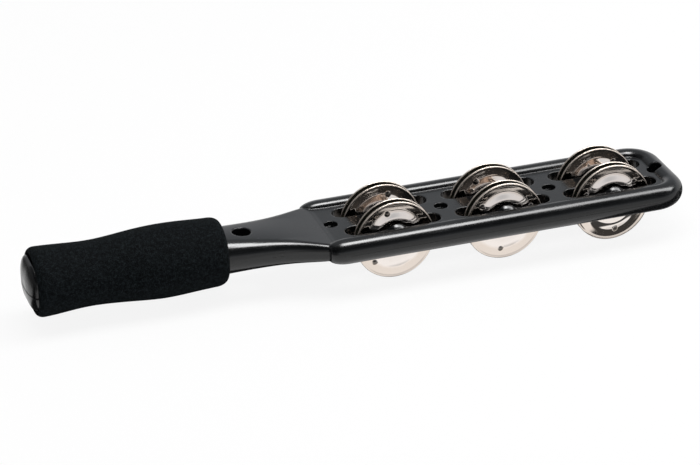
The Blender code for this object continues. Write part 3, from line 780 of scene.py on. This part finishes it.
share = add_node(tree, "ShaderNodeMath", share, operation="MULTIPLY").outputs[0]
seen = add_node(tree, "ShaderNodeMixShader", {0: share, 1: paint, 2: glow}).outputs[0]
mirrored = {0: rays["Is Glossy Ray"], 1: rays["Is Transmission Ray"]}
mirrored = add_node(tree, "ShaderNodeMath", mirrored, operation="MAXIMUM").outputs[0]
mixed = add_node(tree, "ShaderNodeMixShader", {0: mirrored, 1: seen, 2: painted_floor_shadows})
add_node(tree, "ShaderNodeOutputMaterial", {"Surface": mixed.outputs[0]})

signs = ((-1, -1), (1, -1), (1, 1), (-1, 1))
corners = [(FLOOR_HALF * x_sign, FLOOR_HALF * y_sign, 0) for x_sign, y_sign in signs]
floor_mesh = bpy.data.meshes.new("floor")
floor_mesh.from_pydata(corners, [], [(0, 1, 2, 3)])
floor_mesh.materials.append(paper)
floor = bpy.data.objects.new("floor", floor_mesh)
bpy.context.scene.collection.objects.link(floor)

world = bpy.data.worlds.new("studio")
bpy.context.scene.world = world
world.use_nodes = True
tree = world.node_tree
tree.nodes.clear()
direction = add_node(tree, "ShaderNodeTexCoord").outputs["Generated"]
upward = add_node(tree, "ShaderNodeSeparateXYZ", {0: direction}).outputs["Z"]
front_wall = shade_ramp(tree, upward, *FRONT_WALL)
back_wall = shade_ramp(tree, upward, *BACK_WALL)
depth = add_node(tree, "ShaderNodeSeparateXYZ", {0: direction}).outputs["Y"]
behind = spread(tree, depth, 0.0, 1.0, *WALLS_MEET)
walls = add_node(tree, "ShaderNodeMixRGB", {0: behind, 1: front_wall, 2: back_wall}).outputs[0]
sideways = add_node(tree, "ShaderNodeSeparateXYZ", {0: direction}).outputs["X"]
lit = spread(tree, sideways, LEFT_WALL_SHADE, 1.0, *LEFT_WALL)
shown = add_node(tree, "ShaderNodeBackground", {"Color": walls, "Strength": lit}).outputs[0]
ambient = {"Color": AMBIENT_COLOUR, "Strength": AMBIENT_LEVEL}
ambient = add_node(tree, "ShaderNodeBackground", ambient).outputs[0]
mixed = add_node(tree, "ShaderNodeMixShader", {0: seen_rays(tree), 1: ambient, 2: shown})
add_node(tree, "ShaderNodeOutputWorld", {"Surface": mixed.outputs[0]})


def softbox(name, spot, length, width, power, gloss_only=False):
    """A rectangular lamp at a spot, its long side along the stick, turned to the stick's middle."""
    lamp = bpy.data.lights.new(name, "AREA")
    lamp.shape = "RECTANGLE"
    lamp.size = length
    lamp.size_y = width
    lamp.energy = power
    box = bpy.data.objects.new(name, lamp)
    back = (Vector(spot) - SOFTBOX_AIM).normalized()
    up = back.cross(Vector((1, 0, 0))).normalized()
    across = up.cross(back)
    box.matrix_world = Matrix.Translation(spot) @ Matrix((across, up, back)).transposed().to_4x4()
    box.visible_camera = False
    box.visible_diffuse = not gloss_only
    box.visible_glossy = gloss_only
    bpy.context.scene.collection.objects.link(box)


softbox("overhead_softbox", (0.48, -0.12, 1.52), length=2.6, width=0.75, power=25.0)
softbox("overhead_sheen", (0.84, -0.12, 1.50), length=1.88, width=0.62, power=29.0, gloss_only=True)
softbox("overhead_strip", (0.225, -0.12, 1.49), length=0.65, width=0.60, power=12.0, gloss_only=True)


# Camera. A long lens at the photograph's viewing angle: to the left of the stick's middle, raised, and
# rolled by a small angle.

VIEW_TURN = math.radians(-17.967)
VIEW_RISE = math.radians(26.372)
VIEW_ROLL = math.radians(-1.512)
VIEW_DISTANCE = 1.8316
VIEW_TARGET = Vector((0.00248, 0.02044, 0.01481))
SENSOR_WIDTH = 36.0
LENS_LENGTH = 158.5

camera = bpy.data.objects.new("camera", bpy.data.cameras.new("camera"))
bpy.context.scene.collection.objects.link(camera)
level = Vector((math.cos(VIEW_TURN), math.sin(VIEW_TURN), 0))
forward = Vector((-math.sin(VIEW_TURN), math.cos(VIEW_TURN), 0))
back = Vector((0, 0, math.sin(VIEW_RISE))) - forward * math.cos(VIEW_RISE)
upright = back.cross(level)
across = level * math.cos(VIEW_ROLL) + upright * math.sin(VIEW_ROLL)
up = upright * math.cos(VIEW_ROLL) - level * math.sin(VIEW_ROLL)
turned = Matrix((across, up, back)).transposed().to_4x4()
camera.matrix_world = Matrix.Translation(VIEW_TARGET + back * VIEW_DISTANCE) @ turned
camera.data.sensor_width = SENSOR_WIDTH
camera.data.lens = LENS_LENGTH
bpy.context.scene.camera = camera
bpy.context.scene.view_settings.view_transform = "Standard"
